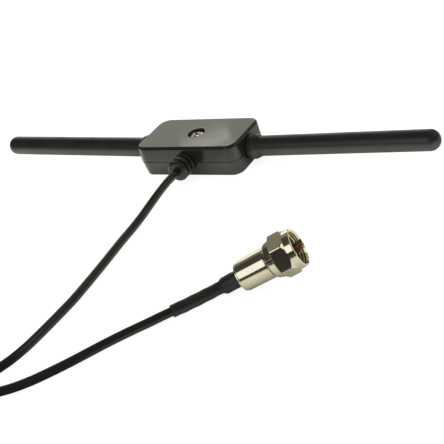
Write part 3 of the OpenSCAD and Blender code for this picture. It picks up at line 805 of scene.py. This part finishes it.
# The studio: a pale floor that keeps the aerial's soft shadow, white all round, and
# four soft lamps. Glossy surfaces see another room: the floor with a painted pool of
# light in bands from front to back and painted shade where something stands on it,
# and dark walls with two pale patches.
FLOOR_HALF = 3
# Where the floor's painted pool of light runs, front to back, in metres.
NEAR_Y, FAR_Y = -0.15, 0.05
# How far the painted shade under things reaches on the floor that glossy rays see.
PAINTED_SHADE_REACH = 0.012
# Greys of the painted pool of light that glossy rays see on the floor, by place from front to
# back: dark far in front of the aerial, brightest just in front of the housing.
PAINTED_LIGHT_POOL_TONES = [
    (0.05, 0.08), (0.19, 0.08), (0.25, 0.78), (0.5, 0.8), (0.6, 1.05), (0.66, 1.6),
    (0.72, 1.9), (0.76, 1.0),
]
WALL_PATCHES = [(140, 25, 0.95, 0.87, 0.17), (72, 38, 0.95, 0.8, 0.3)]
WALL_TINT = (1, 0.94, 0.82)


def direction(turn, rise):
    """The unit vector at those angles round the upright axis and above the level."""
    turn, rise = np.radians(turn), np.radians(rise)
    return np.array([np.cos(rise) * np.cos(turn), np.cos(rise) * np.sin(turn), np.sin(rise)])


square = np.array([(-1, -1, 0), (1, -1, 0), (1, 1, 0), (-1, 1, 0)]) * FLOOR_HALF
floor_mesh = bpy.data.meshes.new("floor")
floor_mesh.from_pydata(square.tolist(), [], [(0, 1, 2, 3)])
floor = bpy.data.objects.new("floor", floor_mesh)
scene.collection.objects.link(floor)
floor_with_painted_light, tree, paint = new_finish("floor_with_painted_light")
floor_mesh.materials.append(floor_with_painted_light)
paint.inputs["Base Color"].default_value = (0.35, 0.35, 0.35, 1)
paint.inputs["Roughness"].default_value = 0.9
paint.inputs["Emission Color"].default_value = (1, 1, 1, 1)
path = wired(tree, "ShaderNodeLightPath")
glow = wired(
    tree, "ShaderNodeMapRange", [("Value", path.outputs["Is Camera Ray"])],
    To_Min=0.45, To_Max=0.84,
)
tree.links.new(glow.outputs[0], paint.inputs["Emission Strength"])
where = wired(tree, "ShaderNodeTexCoord").outputs["Object"]
place = wired(tree, "ShaderNodeSeparateXYZ", [("Vector", where)])
# Painted pool of light: the floor's place from front to back picks a grey from the ramp.
near = wired(
    tree, "ShaderNodeMapRange", [("Value", place.outputs["Y"])], From_Min=NEAR_Y, From_Max=FAR_Y,
)
table = wired(tree, "ShaderNodeValToRGB", [("Fac", near.outputs[0])])
for position, grey in PAINTED_LIGHT_POOL_TONES:
    stop = table.color_ramp.elements.new(position)
    stop.color = (grey, grey * 0.97, grey * 0.86, 1)
for end in (0, -1):
    table.color_ramp.elements.remove(table.color_ramp.elements[end])
# Painted shade: ambient occlusion darkens the painted pool of light where something stands on the
# floor.
painted_contact_shade = wired(
    tree, "ShaderNodeAmbientOcclusion", [("Color", table.outputs["Color"])],
    Distance=PAINTED_SHADE_REACH,
)
painted_contact_shade.samples = 4
# Glossy rays see this emission, painted light and painted shade, in place of the lit floor.
mirrored = wired(tree, "ShaderNodeEmission", [("Color", painted_contact_shade.outputs["Color"])])
either = wired(tree, "ShaderNodeMixShader", [("Fac", path.outputs["Is Glossy Ray"])])
tree.links.new(paint.outputs[0], either.inputs[1])
tree.links.new(mirrored.outputs[0], either.inputs[2])
tree.links.new(either.outputs[0], tree.nodes["Material Output"].inputs["Surface"])

world = bpy.data.worlds.new("studio")
scene.world = world
world.use_nodes = True
tree = world.node_tree
path = wired(tree, "ShaderNodeLightPath")
towards = wired(tree, "ShaderNodeTexCoord").outputs["Generated"]
parts = wired(tree, "ShaderNodeSeparateXYZ", [("Vector", towards)])
rise = wired(
    tree, "ShaderNodeMapRange", [("Value", parts.outputs["Z"])],
    From_Min=0.1, From_Max=0.6, To_Min=0.028, To_Max=0.055,
)
level = rise.outputs[0]
for turn, up, inner, outer, strength in WALL_PATCHES:
    near = wired(tree, "ShaderNodeVectorMath", [(0, towards)], operation="DOT_PRODUCT")
    near.inputs[1].default_value = direction(turn, up)
    patch = wired(
        tree, "ShaderNodeMapRange", [("Value", near.outputs["Value"])],
        From_Min=outer, From_Max=inner, To_Max=strength,
    )
    both = wired(tree, "ShaderNodeMath", [(0, level), (1, patch.outputs[0])], operation="ADD")
    level = both.outputs[0]
dark = blend(tree, level, (0, 0, 0), WALL_TINT)
plain = blend(tree, path.outputs["Is Glossy Ray"], (0.85, 0.85, 0.85), (0, 0, 0))
tree.links.new(dark.outputs[2], plain.inputs[7])
shown = blend(tree, path.outputs["Is Camera Ray"], (0, 0, 0), (1, 1, 1))
tree.links.new(plain.outputs[2], shown.inputs[6])
tree.links.new(shown.outputs[2], tree.nodes["Background"].inputs["Color"])


def lamp(name, turn, rise, away, wide, tall, glow, aim=(20, -30, 8), tint=(1, 0.98, 0.9)):
    """A soft rectangular lamp: the angles it stands at round and above the point it
    faces, its distance and its two sizes in metres, and the brightness of its face.
    The point it faces is in millimetres."""
    data = bpy.data.lights.new(name, "AREA")
    data.shape = "RECTANGLE"
    data.size, data.size_y = wide, tall
    data.energy = glow * np.pi * wide * tall
    data.color = tint
    light = bpy.data.objects.new(name, data)
    light.visible_camera = False
    ray = direction(turn, rise)
    facing = Vector(-ray).to_track_quat("-Z", "Y").to_matrix().to_4x4()
    light.matrix_world = Matrix.Translation(np.array(aim) * MM + away * ray) @ facing
    scene.collection.objects.link(light)


lamp("softbox_front", -106, 28, 0.9, 0.6, 0.6, 1.1, aim=(60, -65, 10), tint=(0.97, 1, 1))
lamp("softbox_back", 124, 16, 0.9, 0.72, 0.5, 1.05, tint=(1, 1, 0.85))
lamp("softbox_right", 28, 42, 0.9, 0.3, 0.3, 1.0, aim=(60, -65, 10))
lamp("card_behind", 127, 24, 0.08, 0.02, 0.007, 1.3, aim=(9, -9, 11), tint=(1, 1, 0.85))
